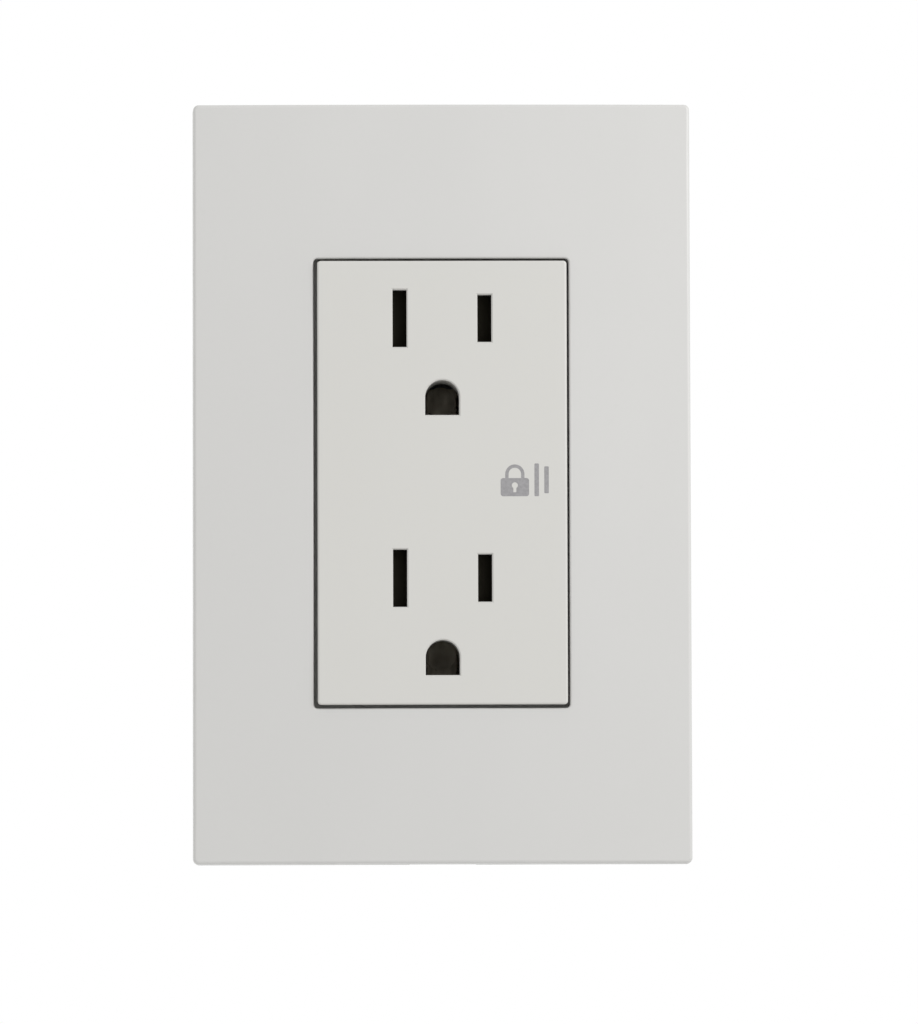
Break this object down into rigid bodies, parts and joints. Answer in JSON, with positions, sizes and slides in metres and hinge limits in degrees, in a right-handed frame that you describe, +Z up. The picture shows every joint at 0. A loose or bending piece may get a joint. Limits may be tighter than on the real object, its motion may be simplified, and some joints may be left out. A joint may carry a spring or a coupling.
{
  "type": "duplex wall outlet",
  "caption": "White rectangular duplex power outlet with a flat shuttered face, a screwless wall plate, a steel strap and side terminals, for a single-gang wall box.",
  "frame": {"origin": "on the wall surface, in the middle of the device, halfway between the two mounting screws", "axes": "+X to the right as you face the outlet, +Z up the wall, +Y into the wall, so the face looks along -Y"},
  "size_m": [0.075, 0.0342, 0.1142],
  "materials": {
    "plate_white": "satin moulded white",
    "face_white": "satin moulded white",
    "frame_white": "plain moulded white",
    "housing_grey": "matt moulded grey",
    "tray_grey": "matt moulded dark grey",
    "shutter_black": "smooth moulded black",
    "natural_plastic": "unpigmented",
    "zinc_steel": "zinc plated",
    "spring_steel": "drawn wire",
    "brass": "rolled strip",
    "contact_brass": "dull, dark rolled strip",
    "brass_screw": "plated screw",
    "nickel": "nickel plated",
    "green_screw": "green dyed"
  },
  "bodies": {
    "device": {"plate_frame": "frame_white", "mounting_strap": "zinc_steel", "front_cover": "face_white", "rear_housing": "housing_grey", "hot_bus": "brass", "neutral_bus": "nickel", "plate_screw_upper": "zinc_steel", "screw_retainer_upper": "natural_plastic", "ground_contact_upper": "contact_brass", "ground_rivet_upper": "contact_brass", "shutter_tray_upper": "tray_grey", "shutter_spring_upper": "spring_steel", "plate_screw_lower": "zinc_steel", "screw_retainer_lower": "natural_plastic", "ground_contact_lower": "contact_brass", "ground_rivet_lower": "contact_brass", "shutter_tray_lower": "tray_grey", "shutter_spring_lower": "spring_steel", "body_screw_left": "zinc_steel", "body_screw_right": "zinc_steel"},
    "cover_plate": {"cover_plate": "plate_white"},
    "shutter_upper": {"shutter_upper": "shutter_black"},
    "shutter_lower": {"shutter_lower": "shutter_black"},
    "mounting_screw_upper": {"mounting_screw_upper": "zinc_steel"},
    "mounting_screw_lower": {"mounting_screw_lower": "zinc_steel"},
    "hot_upper_screw": {"hot_upper_screw": "brass_screw"},
    "hot_upper_clamp": {"hot_upper_clamp": "zinc_steel"},
    "hot_lower_screw": {"hot_lower_screw": "brass_screw"},
    "hot_lower_clamp": {"hot_lower_clamp": "zinc_steel"},
    "neutral_upper_screw": {"neutral_upper_screw": "nickel"},
    "neutral_upper_clamp": {"neutral_upper_clamp": "zinc_steel"},
    "neutral_lower_screw": {"neutral_lower_screw": "nickel"},
    "neutral_lower_clamp": {"neutral_lower_clamp": "zinc_steel"},
    "ground_screw": {"ground_screw": "green_screw"},
    "ground_clamp": {"ground_clamp": "zinc_steel"}
  },
  "joints": [
    {"name": "cover_plate_pull", "type": "slide", "parent": "device", "child": "cover_plate", "axis": [0, -1, 0], "range_m": [0, 0.02]},
    {"name": "shutter_upper_slide", "type": "slide", "parent": "device", "child": "shutter_upper", "axis": [-1, 0, 0], "range_m": [0, 0.0033], "stiffness_N_per_m": 150, "springref_m": -0.002, "deforming": ["shutter_spring_upper"]},
    {"name": "shutter_lower_slide", "type": "slide", "parent": "device", "child": "shutter_lower", "axis": [-1, 0, 0], "range_m": [0, 0.0033], "stiffness_N_per_m": 150, "springref_m": -0.002, "deforming": ["shutter_spring_lower"]},
    {"name": "mounting_screw_upper_turn", "type": "hinge", "parent": "device", "child": "mounting_screw_upper", "pos_m": [0, 0, 0.04167], "axis": [0, -1, 0], "continuous": true},
    {"name": "mounting_screw_lower_turn", "type": "hinge", "parent": "device", "child": "mounting_screw_lower", "pos_m": [0, 0, -0.04167], "axis": [0, -1, 0], "continuous": true},
    {"name": "hot_upper_screw_turn", "type": "hinge", "parent": "device", "child": "hot_upper_screw", "pos_m": [0.0152, 0.012, 0.013], "axis": [1, 0, 0], "range_deg": [-1270, 0]},
    {"name": "hot_upper_clamp_slide", "type": "slide", "parent": "device", "child": "hot_upper_clamp", "axis": [1, 0, 0], "range_m": [0, 0.0028]},
    {"name": "hot_lower_screw_turn", "type": "hinge", "parent": "device", "child": "hot_lower_screw", "pos_m": [0.0152, 0.012, -0.0085], "axis": [1, 0, 0], "range_deg": [-1270, 0]},
    {"name": "hot_lower_clamp_slide", "type": "slide", "parent": "device", "child": "hot_lower_clamp", "axis": [1, 0, 0], "range_m": [0, 0.0028]},
    {"name": "neutral_upper_screw_turn", "type": "hinge", "parent": "device", "child": "neutral_upper_screw", "pos_m": [-0.0152, 0.012, 0.013], "axis": [-1, 0, 0], "range_deg": [-1270, 0]},
    {"name": "neutral_upper_clamp_slide", "type": "slide", "parent": "device", "child": "neutral_upper_clamp", "axis": [-1, 0, 0], "range_m": [0, 0.0028]},
    {"name": "neutral_lower_screw_turn", "type": "hinge", "parent": "device", "child": "neutral_lower_screw", "pos_m": [-0.0152, 0.012, -0.0085], "axis": [-1, 0, 0], "range_deg": [-1270, 0]},
    {"name": "neutral_lower_clamp_slide", "type": "slide", "parent": "device", "child": "neutral_lower_clamp", "axis": [-1, 0, 0], "range_m": [0, 0.0028]},
    {"name": "ground_screw_turn", "type": "hinge", "parent": "device", "child": "ground_screw", "pos_m": [-0.0152, 0.012, -0.027], "axis": [-1, 0, 0], "range_deg": [-1270, 0]},
    {"name": "ground_clamp_slide", "type": "slide", "parent": "device", "child": "ground_clamp", "axis": [-1, 0, 0], "range_m": [0, 0.0028]}
  ],
  "couplings": [
    {"joint": "hot_upper_screw_turn", "follows": "hot_upper_clamp_slide", "rad_per_m": -7915.8},
    {"joint": "hot_lower_screw_turn", "follows": "hot_lower_clamp_slide", "rad_per_m": -7915.8},
    {"joint": "neutral_upper_screw_turn", "follows": "neutral_upper_clamp_slide", "rad_per_m": -7915.8},
    {"joint": "neutral_lower_screw_turn", "follows": "neutral_lower_clamp_slide", "rad_per_m": -7915.8},
    {"joint": "ground_screw_turn", "follows": "ground_clamp_slide", "rad_per_m": -7915.8}
  ]
}
